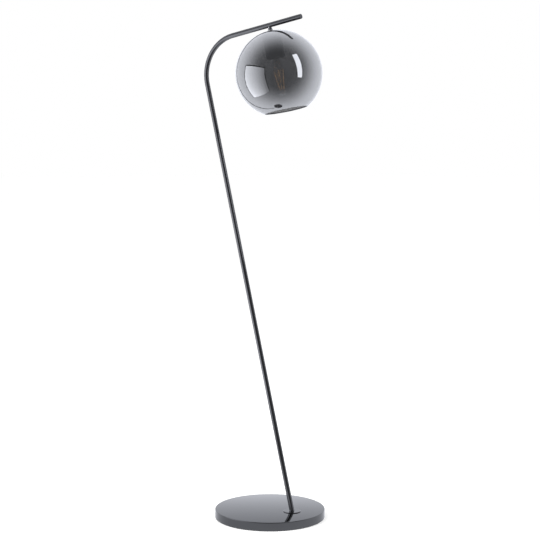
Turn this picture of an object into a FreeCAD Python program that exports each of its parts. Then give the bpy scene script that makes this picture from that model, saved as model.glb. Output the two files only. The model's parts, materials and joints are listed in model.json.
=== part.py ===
import FreeCAD
import Part
import math
import os

os.makedirs("parts", exist_ok=True)

# Globe floor lamp, in millimetres.
# Origin: centre of the round base, on the floor. +Z up, the arm reaches towards +X.
# The pole and the arm are one plane (XZ), bent square, and the whole bend leans back.

Vector = FreeCAD.Vector
Placement = FreeCAD.Placement
Rotation = FreeCAD.Rotation

UP = Vector(0, 0, 1)
ALONG = Vector(1, 0, 0)
ACROSS = Vector(0, 1, 0)

# ---- general fits -----------------------------------------------------------------
slip_gap = 0.1            # diameter left between a plug and the tube that it slides in
bolt_gap = 1.0            # diameter left round a threaded part in a plain hole
bulb_gap = 0.3            # gap between the bulb and the holder that it screws into
seat_gap = 0.1            # gap between a soft washer and the glass it lies on
overcut = 1.0             # how far a cutting tool runs past the face it cuts
same_place = 1e-4         # two edges closer than this are the same edge

# ---- base -------------------------------------------------------------------------
base_diameter = 325.0
base_height = 26.0
cover_wall = 1.2
cover_edge_radius = 2.0
cover_lift = 1.0          # the cover's lower edge stays off the floor
pad_thickness = 2.5
weight_edge_chamfer = 2.5
weight_side_gap = 0.5
recess_diameter = 36.0    # room for a box spanner round the nut under the base
recess_depth = 11.0
channel_width = 9.0
channel_height = 8.0
inlet_height = 13.0       # centre of the cable hole in the rim
inlet_hole_diameter = 10.0
inlet_bore_diameter = 6.5
grommet_flange_diameter = 14.0
grommet_flange_thickness = 1.4

# ---- foot -------------------------------------------------------------------------
foot_offset = 76.0        # pole axis from the base's centre, at the cover's top face
flange_diameter = 52.0
flange_thickness = 2.4
flange_edge_radius = 0.8
stud_diameter = 10.0
stud_bore_diameter = 6.8
stud_floor_gap = 3.5
washer_diameter = 30.0
washer_thickness = 2.0
lock_washer_diameter = 18.0
lock_washer_thickness = 1.2
lock_washer_slit = 1.5
nut_across_flats = 17.0
nut_thickness = 4.5

# ---- pole and arm -----------------------------------------------------------------
lean_angle = 13.1         # degrees from upright
tube_diameter = 14.0
tube_wall = 1.0
tube_edge_chamfer = 0.3
pole_length = 1400.0      # along the axis, from the cover's top face to the square corner
lower_tube_length = 560.0
middle_tube_length = 560.0
bend_radius = 118.0
arm_length = 354.0        # from the square corner to the end of the arm
joint_thread_diameter = 9.0
joint_bore_diameter = 6.0
joint_plug_length = 20.0
joint_thread_length = 16.0
cap_head_thickness = 2.0
cap_plug_length = 9.0
cap_edge_radius = 0.7
cap_centre_diameter = 5.0
cap_centre_depth = 0.5

# ---- hanging point ----------------------------------------------------------------
globe_offset = 246.0      # along the arm, from the square corner to the globe's axis
hang_gap = 9.0            # between the arm and the glass
nipple_diameter = 10.0
nipple_bore_diameter = 7.0
nipple_depth = 3.0        # how far the nipple passes the arm's centre line
insert_length = 26.0
insert_lead_bore = 5.0
collar_top_diameter = 11.0
collar_foot_diameter = 15.6
gasket_thickness = 1.0
cup_gasket_diameter = 46.0

# ---- globe ------------------------------------------------------------------------
globe_diameter = 250.0
globe_wall = 3.0
globe_opening_diameter = 126.0

# ---- lamp holder ------------------------------------------------------------------
cup_diameter = 54.0
cup_height = 74.0
cup_wall = 1.0
cup_shoulder_radius = 4.0
cup_lip_radius = 3.5
cup_mouth_diameter = 43.0
cup_nut_thickness = 3.0
cup_nut_across_flats = 14.0
toothed_washer_diameter = 17.0
toothed_washer_thickness = 0.8
toothed_washer_teeth = 12
toothed_washer_tooth = 1.2
holder_cap_neck_diameter = 15.0
holder_cap_neck_height = 7.0
holder_cap_height = 20.0
holder_diameter = 39.0
holder_wall = 2.0
holder_skirt_height = 33.0
holder_rib_count = 24
holder_rib_depth = 0.6
core_thickness = 9.0
thread_shell_bore = 26.7
thread_shell_wall = 0.5
thread_shell_height = 24.0
contact_width = 6.0
contact_thickness = 0.6
contact_rise = 2.2
side_contact_height = 12.0
terminal_screw_diameter = 3.5
terminal_head_diameter = 6.0
terminal_head_height = 2.2
terminal_slot_width = 1.0
terminal_slot_depth = 1.1
terminal_screw_length = 6.0
terminal_spacing = 20.0

# ---- bulb -------------------------------------------------------------------------
bulb_length = 140.0
bulb_diameter = 59.0
bulb_neck_diameter = 25.0
bulb_glass_wall = 0.8
bulb_neck_length = 20.0
bulb_shoulder_length = 51.0
bulb_shoulder_radius = 50.0
bulb_dome_length = 51.5
bulb_nose_radius = 18.0
screw_cap_wall = 0.3
screw_cap_length = 18.0
insulator_height = 6.0
insulator_top_diameter = 11.0
insulator_foot_diameter = 17.0
insulator_foot_height = 2.0
tip_diameter = 9.0
tip_height = 1.6
stem_disc_thickness = 1.0
stem_throat_diameter = 9.0
stem_flare_length = 18.0
stem_throat_length = 18.0
stem_diameter = 4.4
filament_count = 6
filament_diameter = 1.8
filament_top_radius = 16.0
filament_foot_radius = 5.6
filament_length = 60.0
filament_drop = 63.5      # from the bulb's tip down to the top of the filaments
wire_diameter = 0.8

# ---- the bulb's thread ------------------------------------------------------------
thread_pitch = 3.629
unscrew_turns = 5

# ---- sizes that follow from the ones above ----------------------------------------
base_radius = base_diameter / 2
tube_radius = tube_diameter / 2
tube_bore = tube_diameter - 2 * tube_wall
plug_diameter = tube_bore - slip_gap
weight_top = base_height - cover_wall
recess_ceiling = pad_thickness + recess_depth
foot_top = base_height + flange_thickness
bent_tube_start = lower_tube_length + middle_tube_length
globe_radius = globe_diameter / 2
globe_inner_radius = globe_radius - globe_wall

# heights on the hanging axis, measured from the arm's centre line
glass_top = -tube_radius - hang_gap
collar_foot = glass_top + gasket_thickness
globe_centre = glass_top - globe_radius
glass_inner_top = glass_top - globe_wall


def sphere_height(radius, reach):
    """Height on the hanging axis of a globe surface, at a distance from that axis."""
    return globe_centre + math.sqrt(radius ** 2 - reach ** 2)


cup_top = sphere_height(globe_inner_radius, cup_gasket_diameter / 2) - gasket_thickness
cup_foot = cup_top - cup_height
cup_ceiling = cup_top - cup_wall
cup_washer_foot = cup_ceiling - toothed_washer_thickness
cup_nut_foot = cup_washer_foot - cup_nut_thickness
holder_cap_top = cup_nut_foot
holder_cap_foot = holder_cap_top - holder_cap_neck_height - holder_cap_height
holder_skirt_foot = holder_cap_foot - holder_skirt_height
core_top = holder_cap_foot
core_foot = core_top - core_thickness
contact_foot = core_foot - contact_rise
bulb_tip = contact_foot - contact_thickness - bulb_gap
insulator_top = bulb_tip - tip_height
screw_cap_top = insulator_top - insulator_height
screw_cap_foot = screw_cap_top - screw_cap_length
bulb_end = bulb_tip - bulb_length
bulb_widest = bulb_end + bulb_dome_length
bulb_neck_foot = bulb_widest + bulb_shoulder_length
bulb_neck_top = bulb_neck_foot + bulb_neck_length
screw_cap_diameter = thread_shell_bore - 2 * bulb_gap
filament_top = bulb_tip - filament_drop
filament_foot = filament_top - filament_length

# ---- frames -----------------------------------------------------------------------
base_frame = Placement()
foot_frame = Placement(Vector(foot_offset, 0, 0), Rotation())
lean = Rotation(ACROSS, -lean_angle)
pole_frame = Placement(Vector(foot_offset, 0, base_height), lean)
head_frame = pole_frame * Placement(Vector(globe_offset, 0, pole_length), Rotation())


# ---- building blocks --------------------------------------------------------------
def cylinder(diameter, bottom, top, centre=(0, 0)):
    """Upright round bar between two heights."""
    return Part.makeCylinder(diameter / 2, top - bottom, Vector(centre[0], centre[1], bottom), UP)


def ring(outer, inner, bottom, top):
    """Upright round bar with a through bore."""
    return cylinder(outer, bottom, top).cut(cylinder(inner, bottom - overcut, top + overcut))


def bar(diameter, start, end):
    """Round bar between two points."""
    axis = end - start
    return Part.makeCylinder(diameter / 2, axis.Length, start, axis)


def turned(edges):
    """Solid of revolution about the Z axis from a closed outline in the XZ plane."""
    return Part.Face(Part.Wire(edges)).revolve(Vector(0, 0, 0), UP, 360)


def line(start, end):
    return Part.LineSegment(Vector(start[0], 0, start[1]), Vector(end[0], 0, end[1])).toShape()


def arc(start, middle, end):
    points = [Vector(point[0], 0, point[1]) for point in (start, middle, end)]
    return Part.Arc(*points).toShape()


def turned_from_points(points):
    """Turned solid whose outline has straight sides only."""
    closed = points + points[:1]
    return turned([line(a, b) for a, b in zip(closed, closed[1:])])


def hexagon(across_flats, bottom, top):
    corner = across_flats / 2 / math.cos(math.pi / 6)
    points = []
    for index in range(7):
        angle = index * math.pi / 3
        points.append(Vector(corner * math.cos(angle), corner * math.sin(angle), bottom))
    return Part.Face(Part.makePolygon(points)).extrude(UP * (top - bottom))


def nut(across_flats, bore, bottom, top):
    """Hexagon nut with the corners turned off on both faces."""
    corner = across_flats / 2 / math.cos(math.pi / 6)
    turn_off = corner - across_flats / 2
    blank = turned_from_points([
        (0, bottom), (corner - turn_off, bottom), (corner, bottom + turn_off / 2),
        (corner, top - turn_off / 2), (corner - turn_off, top), (0, top)])
    hole = cylinder(bore, bottom - overcut, top + overcut)
    return hexagon(across_flats, bottom, top).common(blank).cut(hole)


def edges_at_height(shape, height, radius):
    """Circular edges of a given radius that lie at a given height."""
    found = []
    for edge in shape.Edges:
        if isinstance(edge.Curve, Part.Circle):
            level = abs(edge.Curve.Center.z - height) < same_place
            if level and abs(edge.Curve.Radius - radius) < same_place:
                found.append(edge)
    return found


def globe_ball(radius):
    return Part.makeSphere(radius, Vector(0, 0, globe_centre))


def export(name, shape, frame):
    """Put a piece in the lamp's frame and write it."""
    shape.Placement = frame * shape.Placement
    shape.exportStep("parts/" + name + ".step")


# ---- base -------------------------------------------------------------------------
def base_cover():
    """Deep-drawn steel dish, open underneath, with the stud hole and the cable hole."""
    outer = cylinder(base_diameter, cover_lift, base_height)
    outer = outer.makeFillet(cover_edge_radius, edges_at_height(outer, base_height, base_radius))
    inner_radius = base_radius - cover_wall
    inner = cylinder(2 * inner_radius, cover_lift - overcut, weight_top)
    inner_edge = edges_at_height(inner, weight_top, inner_radius)
    inner = inner.makeChamfer(cover_edge_radius - cover_wall / 2, inner_edge)
    stud_hole = cylinder(stud_diameter + bolt_gap, 0, base_height + overcut, (foot_offset, 0))
    inlet = Part.makeCylinder(inlet_hole_diameter / 2, base_radius,
                              Vector(0, 0, inlet_height), -ALONG)
    return outer.cut(inner).cut(stud_hole).cut(inlet)


def base_weight():
    """Cast disc that fills the cover, with a nut recess and a cable channel underneath."""
    radius = base_radius - cover_wall - weight_side_gap
    disc = cylinder(2 * radius, pad_thickness, weight_top)
    disc = disc.makeChamfer(weight_edge_chamfer, edges_at_height(disc, weight_top, radius))
    stud_hole = cylinder(stud_diameter + bolt_gap, 0, base_height, (foot_offset, 0))
    recess = cylinder(recess_diameter, 0, recess_ceiling, (foot_offset, 0))
    channel_top = inlet_height + channel_height / 2
    channel = Part.makeBox(base_radius + foot_offset, channel_width, channel_top,
                           Vector(-base_radius, -channel_width / 2, 0))
    return disc.cut(stud_hole).cut(recess).cut(channel)


def base_pad():
    """Foam pad under the weight, open at the nut recess."""
    radius = base_radius - cover_wall - weight_side_gap
    disc = cylinder(2 * radius, 0, pad_thickness)
    recess = cylinder(recess_diameter, -overcut, pad_thickness + overcut, (foot_offset, 0))
    return disc.cut(recess)


def cable_grommet():
    """Rubber bush in the rim's cable hole: a flange outside, a groove for the sheet."""
    waist = inlet_hole_diameter / 2 - slip_gap
    flange = grommet_flange_diameter / 2
    bore = inlet_bore_diameter / 2
    inside = weight_side_gap
    rim_sag = base_radius - math.sqrt(base_radius ** 2 - flange ** 2)
    bush = turned_from_points([
        (bore, -cover_wall - inside), (waist, -cover_wall - inside), (waist, 0),
        (flange, 0), (flange, rim_sag + grommet_flange_thickness / 2),
        (flange - grommet_flange_thickness / 2, rim_sag + grommet_flange_thickness),
        (bore, rim_sag + grommet_flange_thickness)])
    bush.Placement = Placement(Vector(-base_radius, 0, inlet_height), Rotation(ACROSS, -90))
    rim = cylinder(base_diameter, 0, base_height)
    hole = Part.makeCylinder(waist, base_radius, Vector(0, 0, inlet_height), -ALONG)
    return bush.cut(rim.cut(hole))


# ---- foot -------------------------------------------------------------------------
def foot_flange():
    """Round plate that the leaning pole is welded to."""
    plate = cylinder(flange_diameter, base_height, foot_top)
    rim = edges_at_height(plate, foot_top, flange_diameter / 2)
    plate = plate.makeFillet(flange_edge_radius, rim)
    return plate.cut(cylinder(stud_diameter, base_height - overcut, foot_top + overcut))


def foot_stud():
    """Hollow threaded stud under the flange, through the cover and the weight."""
    return ring(stud_diameter, stud_bore_diameter, stud_floor_gap, foot_top)


washer_foot = recess_ceiling - washer_thickness
lock_washer_foot = washer_foot - lock_washer_thickness


def foot_washer():
    return ring(washer_diameter, stud_diameter + bolt_gap / 2, washer_foot, recess_ceiling)


def foot_lock_washer():
    """Split spring washer, drawn flat as it is under the tight nut."""
    body = ring(lock_washer_diameter, stud_diameter + bolt_gap / 2, lock_washer_foot, washer_foot)
    slit = Part.makeBox(lock_washer_diameter, lock_washer_slit, lock_washer_thickness + 2 * overcut,
                        Vector(0, -lock_washer_slit / 2, lock_washer_foot - overcut))
    return body.cut(slit)


def foot_nut():
    return nut(nut_across_flats, stud_diameter, lock_washer_foot - nut_thickness, lock_washer_foot)


# ---- pole and arm -----------------------------------------------------------------
def tube(bottom, top):
    """Length of pole tube with both outer ends broken."""
    outer = cylinder(tube_diameter, bottom, top)
    ends = edges_at_height(outer, bottom, tube_radius) + edges_at_height(outer, top, tube_radius)
    outer = outer.makeChamfer(tube_edge_chamfer, ends)
    return outer.cut(cylinder(tube_bore, bottom - overcut, top + overcut))


def lower_pole_tube():
    """Lowest length of the pole, cut level where it stands on the flange."""
    whole = tube(-tube_diameter, lower_tube_length)
    whole.Placement = pole_frame
    below = Part.makeBox(base_diameter, base_diameter, foot_top + tube_diameter,
                         Vector(foot_offset - base_radius, -base_radius, -tube_diameter))
    return whole.cut(below)


def middle_pole_tube():
    return tube(lower_tube_length, bent_tube_start)


def bent_path_solid(diameter, end_trim):
    """Round bar along the top leg, the square bend and the arm."""
    leg_top = pole_length - bend_radius
    leg = cylinder(diameter, bent_tube_start, leg_top)
    section = Part.Face(Part.Wire(Part.makeCircle(diameter / 2, Vector(0, 0, leg_top), UP)))
    bend = section.revolve(Vector(bend_radius, 0, leg_top), ACROSS, 90)
    reach = bar(diameter, Vector(bend_radius, 0, pole_length),
                Vector(arm_length - end_trim, 0, pole_length))
    return leg.fuse([bend, reach]).removeSplitter()


def bent_arm_tube():
    """Top length of the pole, bent square into the arm, with the hole for the nipple."""
    outer = bent_path_solid(tube_diameter, cap_head_thickness)
    joint_edge = edges_at_height(outer, bent_tube_start, tube_radius)
    outer = outer.makeChamfer(tube_edge_chamfer, joint_edge)
    inner = bent_path_solid(tube_bore, 0)
    inner = inner.fuse(cylinder(tube_bore, bent_tube_start - overcut, bent_tube_start + overcut))
    hole = cylinder(nipple_diameter + slip_gap, pole_length - tube_diameter, pole_length,
                    (globe_offset, 0))
    return outer.cut(inner).cut(hole)


def joint_socket(joint_height):
    """Plug with a threaded bore, fixed in the top end of the tube below a joint."""
    return ring(plug_diameter, joint_thread_diameter, joint_height - joint_plug_length, joint_height)


def joint_stud(joint_height):
    """Hollow plug with a thread, fixed in the bottom end of the tube above a joint."""
    plug = cylinder(plug_diameter, joint_height, joint_height + joint_plug_length)
    thread = cylinder(joint_thread_diameter, joint_height - joint_thread_length, joint_height)
    thread = thread.makeChamfer(tube_edge_chamfer, edges_at_height(
        thread, joint_height - joint_thread_length, joint_thread_diameter / 2))
    bore = cylinder(joint_bore_diameter, joint_height - joint_thread_length - overcut,
                    joint_height + joint_plug_length + overcut)
    return plug.fuse(thread).cut(bore)


def arm_end_cap():
    """Pushed-in end cap: a plug in the tube and a head with a small turned centre."""
    head_start = -cap_head_thickness
    plug_end = head_start - cap_plug_length
    head = cylinder(tube_diameter, head_start, 0)
    head = head.makeFillet(cap_edge_radius, edges_at_height(head, 0, tube_radius))
    plug = cylinder(plug_diameter, plug_end, head_start)
    plug = plug.makeChamfer(tube_edge_chamfer, edges_at_height(plug, plug_end, plug_diameter / 2))
    centre = cylinder(cap_centre_diameter, -cap_centre_depth, overcut)
    cap = head.fuse(plug).cut(centre)
    cap.Placement = Placement(Vector(arm_length, 0, pole_length), Rotation(ACROSS, 90))
    return cap


# ---- hanging point: heights from the arm's centre line ----------------------------
def arm_insert():
    """Round bar brazed into the arm and cross-drilled for the hollow nipple."""
    half = insert_length / 2
    body = bar(plug_diameter, Vector(-half, 0, 0), Vector(half, 0, 0))
    cross = cylinder(nipple_diameter, -tube_diameter, nipple_depth)
    lead = bar(insert_lead_bore, Vector(-half - overcut, 0, 0), Vector(0, 0, 0))
    return body.cut(cross).cut(lead)


def hanger_nipple():
    """Hollow threaded nipple from the arm down to the lamp holder's cap."""
    bottom = holder_cap_top - holder_cap_neck_height
    body = ring(nipple_diameter, nipple_bore_diameter, bottom, nipple_depth)
    side_lead = bar(insert_lead_bore, Vector(-nipple_diameter, 0, 0), Vector(0, 0, 0))
    return body.cut(side_lead)


def stem_collar():
    """Tapered collar between the arm and the glass, saddled to the tube."""
    body = turned_from_points([
        (nipple_diameter / 2, collar_foot), (collar_foot_diameter / 2, collar_foot),
        (collar_foot_diameter / 2, collar_foot + gasket_thickness),
        (collar_top_diameter / 2, -tube_radius), (collar_top_diameter / 2, 0),
        (nipple_diameter / 2, 0)])
    saddle = bar(tube_diameter, Vector(-tube_diameter, 0, 0), Vector(tube_diameter, 0, 0))
    return body.cut(saddle)


def glass_gasket():
    """Soft washer between the collar and the outside of the glass."""
    edge = sphere_height(globe_radius, collar_foot_diameter / 2)
    blank = ring(collar_foot_diameter, nipple_diameter, edge, collar_foot)
    return blank.cut(globe_ball(globe_radius + seat_gap))


def cup_gasket():
    """Soft ring between the inside of the glass and the cup."""
    blank = ring(cup_gasket_diameter, nipple_diameter, cup_top, glass_inner_top)
    return blank.common(globe_ball(globe_inner_radius - seat_gap))


# ---- globe ------------------------------------------------------------------------
def globe_glass():
    """Blown globe, cut open at the bottom with a fire-rounded rim."""
    middle_radius = globe_radius - globe_wall / 2
    opening = math.asin(globe_opening_diameter / 2 / middle_radius)
    hole_radius = (nipple_diameter + bolt_gap) / 2

    def on_globe(radius, angle):
        return (radius * math.sin(angle), globe_centre - radius * math.cos(angle))

    def hole_point(radius):
        return (hole_radius, sphere_height(radius, hole_radius))

    side = (math.pi + opening) / 2
    rim_angle = opening - globe_wall / 2 / middle_radius
    outline = [
        arc(hole_point(globe_radius), on_globe(globe_radius, side), on_globe(globe_radius, opening)),
        arc(on_globe(globe_radius, opening), on_globe(middle_radius, rim_angle),
            on_globe(globe_inner_radius, opening)),
        arc(on_globe(globe_inner_radius, opening), on_globe(globe_inner_radius, side),
            hole_point(globe_inner_radius)),
        line(hole_point(globe_inner_radius), hole_point(globe_radius))]
    return turned(outline)


# ---- lamp holder ------------------------------------------------------------------
def holder_cup():
    """Spun cup that hides the lamp holder, its lower edge turned in."""
    radius = cup_diameter / 2
    outer = cylinder(cup_diameter, cup_foot, cup_top)
    outer = outer.makeFillet(cup_shoulder_radius, edges_at_height(outer, cup_top, radius))
    outer = outer.makeFillet(cup_lip_radius, edges_at_height(outer, cup_foot, radius))
    inner_radius = radius - cup_wall
    inner = cylinder(2 * inner_radius, cup_foot + cup_wall, cup_ceiling)
    shoulder = edges_at_height(inner, cup_ceiling, inner_radius)
    lip = edges_at_height(inner, cup_foot + cup_wall, inner_radius)
    inner = inner.makeChamfer((cup_shoulder_radius - cup_wall) / 2, shoulder)
    inner = inner.makeChamfer((cup_lip_radius - cup_wall) / 2, lip)
    mouth = cylinder(cup_mouth_diameter, cup_foot - overcut, cup_foot + cup_wall + overcut)
    hole = cylinder(nipple_diameter, cup_ceiling - overcut, cup_top + overcut)
    return outer.cut(inner).cut(mouth).cut(hole)


def cup_toothed_washer():
    """Washer with teeth round its edge, under the cup's top."""
    body = cylinder(toothed_washer_diameter, cup_washer_foot, cup_ceiling)
    notch_width = math.pi * toothed_washer_diameter / toothed_washer_teeth / 2
    radius = toothed_washer_diameter / 2
    notches = []
    for index in range(toothed_washer_teeth):
        corner = Vector(radius - toothed_washer_tooth, -notch_width / 2, cup_washer_foot - overcut)
        notch = Part.makeBox(2 * toothed_washer_tooth, notch_width,
                             toothed_washer_thickness + 2 * overcut, corner)
        notch.rotate(Vector(0, 0, 0), UP, 360 * index / toothed_washer_teeth)
        notches.append(notch)
    bore = cylinder(nipple_diameter, cup_washer_foot - overcut, cup_ceiling + overcut)
    return body.cut(notches).cut(bore)


def cup_nut():
    return nut(cup_nut_across_flats, nipple_diameter, cup_nut_foot, cup_washer_foot)


def holder_cap():
    """Tapered top of the lamp holder, screwed on the nipple."""
    neck = holder_cap_neck_diameter / 2
    outer = holder_diameter / 2
    bore = nipple_diameter / 2
    neck_foot = holder_cap_top - holder_cap_neck_height
    knee = holder_cap_foot + holder_cap_height / 2
    return turned_from_points([
        (bore, holder_cap_top), (neck, holder_cap_top), (neck, neck_foot),
        (neck + holder_wall, neck_foot), (outer, knee), (outer, holder_cap_foot),
        (outer - holder_wall, holder_cap_foot), (outer - holder_wall, knee),
        (neck, neck_foot - holder_wall), (bore, neck_foot - holder_wall)])


def holder_skirt():
    """Outer sleeve of the lamp holder, ribbed for grip, with an inner ledge at its foot."""
    body = cylinder(holder_diameter, holder_skirt_foot, holder_cap_foot)
    grooves = []
    for index in range(holder_rib_count):
        angle = 2 * math.pi * index / holder_rib_count
        centre = (holder_diameter / 2 * math.cos(angle), holder_diameter / 2 * math.sin(angle))
        grooves.append(cylinder(2 * holder_rib_depth, holder_skirt_foot - overcut,
                                holder_cap_foot - holder_wall, centre))
    shell_outer = thread_shell_bore + 2 * thread_shell_wall
    bore = cylinder(holder_diameter - 2 * holder_wall, holder_skirt_foot + holder_wall,
                    holder_cap_foot + overcut)
    mouth = cylinder(shell_outer + slip_gap, holder_skirt_foot - overcut,
                     holder_skirt_foot + holder_wall)
    return body.cut(grooves).cut(bore).cut(mouth)


def terminal_places():
    return [(0, -terminal_spacing / 2), (0, terminal_spacing / 2)]


def holder_core():
    """Insulating disc that carries the contacts, the terminals and the thread shell."""
    body = cylinder(holder_diameter - 2 * holder_wall - slip_gap, core_foot, core_top)
    lead_holes = [cylinder(terminal_screw_diameter, core_foot - overcut, core_top + overcut,
                           (side * terminal_spacing / 2, 0)) for side in (-1, 1)]
    screw_holes = [cylinder(terminal_screw_diameter, core_top - terminal_screw_length,
                            core_top + overcut, place) for place in terminal_places()]
    return body.cut(lead_holes + screw_holes)


def thread_shell():
    """Metal sleeve that takes the bulb's screw cap."""
    outer = thread_shell_bore + 2 * thread_shell_wall
    return ring(outer, thread_shell_bore, core_foot - thread_shell_height, core_foot)


def centre_contact():
    """Sprung tongue: flat on the core at one end, raised under the bulb's tip."""
    reach = thread_shell_bore / 2 - 2 * bulb_gap
    half = contact_width / 2
    top = core_foot
    low = contact_foot
    thick = contact_thickness
    points = [(reach, top), (reach, top - thick), (half + contact_rise, top - thick),
              (half, low - thick), (-half, low - thick), (-half - thick, low),
              (-half, low), (half - thick / 2, low), (half + contact_rise - thick / 2, top)]
    corners = [Vector(x, -half, z) for x, z in points + points[:1]]
    return Part.Face(Part.makePolygon(corners)).extrude(ACROSS * contact_width)


def side_contacts():
    """Pair of strips from the core down the outside of the thread shell."""
    inner = thread_shell_bore / 2 + thread_shell_wall
    strips = []
    for side in (-1, 1):
        strip = Part.makeBox(contact_thickness, contact_width, side_contact_height,
                             Vector(inner, -contact_width / 2, core_foot - side_contact_height))
        if side < 0:
            strip.rotate(Vector(0, 0, 0), UP, 180)
        strips.append(strip)
    return Part.makeCompound(strips)


def terminal_screws():
    """Two slotted screws on top of the core."""
    screws = []
    for place in terminal_places():
        shank = cylinder(terminal_screw_diameter - slip_gap, core_top - terminal_screw_length,
                         core_top, place)
        head_top = core_top + terminal_head_height
        head = cylinder(terminal_head_diameter, core_top, head_top, place)
        slot = Part.makeBox(terminal_head_diameter, terminal_slot_width, terminal_head_height,
                            Vector(place[0] - terminal_head_diameter / 2,
                                   place[1] - terminal_slot_width / 2,
                                   head_top - terminal_slot_depth))
        screws.append(shank.fuse(head).cut(slot))
    return Part.makeCompound(screws)


# ---- bulb -------------------------------------------------------------------------
def between(centre, radius, first, last):
    """Arc about a centre between two angles in degrees, measured from +X towards +Z."""
    points = []
    for angle in (first, (first + last) / 2, last):
        turn = math.radians(angle)
        points.append((centre[0] + radius * math.cos(turn), centre[1] + radius * math.sin(turn)))
    return arc(*points)


def bulb_outline(inset):
    """Neck, shoulder and dome of the bulb: four tangent arcs from the neck to the end."""
    neck = bulb_neck_diameter / 2
    widest = bulb_diameter / 2
    swell = widest - neck
    both_radii = (swell ** 2 + bulb_shoulder_length ** 2) / (2 * swell)
    hollow_radius = both_radii - bulb_shoulder_radius
    shoulder_turn = math.degrees(math.asin(bulb_shoulder_length / both_radii))
    nose_rise = bulb_dome_length - bulb_nose_radius
    side_radius = ((widest ** 2 + nose_rise ** 2 - bulb_nose_radius ** 2)
                   / (2 * (widest - bulb_nose_radius)))
    nose_turn = math.degrees(math.asin(nose_rise / (side_radius - bulb_nose_radius)))
    hollow_centre = (neck + hollow_radius, bulb_neck_foot)
    shoulder_centre = (widest - bulb_shoulder_radius, bulb_widest)
    side_centre = (widest - side_radius, bulb_widest)
    nose_centre = (0, bulb_end + bulb_nose_radius)
    return [
        line((neck - inset, bulb_neck_top), (neck - inset, bulb_neck_foot)),
        between(hollow_centre, hollow_radius + inset, 180, 180 + shoulder_turn),
        between(shoulder_centre, bulb_shoulder_radius - inset, shoulder_turn, 0),
        between(side_centre, side_radius - inset, 0, -nose_turn),
        between(nose_centre, bulb_nose_radius - inset, -nose_turn, -90)]


def bulb_glass():
    """Clear blown bulb, open at the neck where the stem is sealed in."""
    outer = bulb_outline(0)
    inner = bulb_outline(bulb_glass_wall)
    outer_neck = bulb_neck_diameter / 2
    inner_neck = outer_neck - bulb_glass_wall
    closing = [line((inner_neck, bulb_neck_top), (outer_neck, bulb_neck_top)),
               line((0, bulb_end), (0, bulb_end + bulb_glass_wall))]
    edges = Part.sortEdges(outer + inner + closing)[0]
    return turned(edges)


def bulb_screw_cap():
    """Thin metal screw cap round the neck, drawn in at its top to hold the insulator."""
    outer = screw_cap_diameter / 2
    foot = insulator_foot_diameter / 2
    wall = screw_cap_wall
    neck_in = (outer - foot) / 2
    return turned_from_points([
        (outer - wall, screw_cap_foot), (outer, screw_cap_foot),
        (outer, screw_cap_top - neck_in), (foot, screw_cap_top),
        (foot - wall, screw_cap_top - wall), (outer - wall, screw_cap_top - neck_in - wall)])


def bulb_insulator():
    """Glassy insulator between the screw cap and the tip."""
    top = insulator_top_diameter / 2
    foot = insulator_foot_diameter / 2
    return turned_from_points([
        (0, screw_cap_top), (foot, screw_cap_top),
        (foot, screw_cap_top + insulator_foot_height), (top, insulator_top), (0, insulator_top)])


def bulb_tip_contact():
    """Domed solder contact."""
    radius = tip_diameter / 2
    dome_radius = (radius ** 2 + tip_height ** 2) / (2 * tip_height)
    ball = Part.makeSphere(dome_radius, Vector(0, 0, bulb_tip - dome_radius))
    return cylinder(tip_diameter, insulator_top, bulb_tip + overcut).common(ball)


def bulb_stem():
    """Glass stem: a flare sealed in the neck, a throat and a rod down the bulb's middle."""
    throat = stem_throat_diameter / 2
    rod = stem_diameter / 2
    neck_inside = bulb_neck_diameter / 2 - bulb_glass_wall
    throat_top = bulb_neck_top - stem_flare_length
    throat_foot = throat_top - stem_throat_length
    rod_foot = filament_foot - stem_diameter
    return turned_from_points([
        (0, bulb_neck_top), (neck_inside, bulb_neck_top),
        (neck_inside, bulb_neck_top - stem_disc_thickness), (throat, throat_top),
        (throat, throat_foot), (rod, throat_foot - rod), (rod, rod_foot), (0, rod_foot)])


def around(index, radius, height):
    angle = 2 * math.pi * index / filament_count
    return Vector(radius * math.cos(angle), radius * math.sin(angle), height)


def bulb_filaments():
    """Filament sticks that stand in a cone, closer together at the bulb's end."""
    sticks = []
    for index in range(filament_count):
        sticks.append(bar(filament_diameter, around(index, filament_foot_radius, filament_foot),
                          around(index, filament_top_radius, filament_top)))
    return Part.makeCompound(sticks)


def bulb_wires():
    """Support wires from the stem to both ends of each filament."""
    wires = []
    for index in range(filament_count):
        for radius, height in ((filament_top_radius, filament_top + wire_diameter),
                               (filament_foot_radius, filament_foot - wire_diameter)):
            wires.append(bar(wire_diameter, around(index, stem_diameter / 2, height),
                             around(index, radius, height)))
    return Part.makeCompound(wires)


# ---- the assembly -----------------------------------------------------------------
export("base_pad", base_pad(), base_frame)
export("base_weight", base_weight(), base_frame)
export("base_cover", base_cover(), base_frame)
export("cable_grommet", cable_grommet(), base_frame)

export("foot_flange", foot_flange(), foot_frame)
export("foot_stud", foot_stud(), foot_frame)
export("foot_washer", foot_washer(), foot_frame)
export("foot_lock_washer", foot_lock_washer(), foot_frame)
export("foot_nut", foot_nut(), foot_frame)

export("lower_pole_tube", lower_pole_tube(), base_frame)
export("middle_pole_tube", middle_pole_tube(), pole_frame)
export("bent_arm_tube", bent_arm_tube(), pole_frame)
for joint_name, joint_place in (("lower", lower_tube_length), ("upper", bent_tube_start)):
    export(joint_name + "_joint_socket", joint_socket(joint_place), pole_frame)
    export(joint_name + "_joint_stud", joint_stud(joint_place), pole_frame)
export("arm_end_cap", arm_end_cap(), pole_frame)

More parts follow.
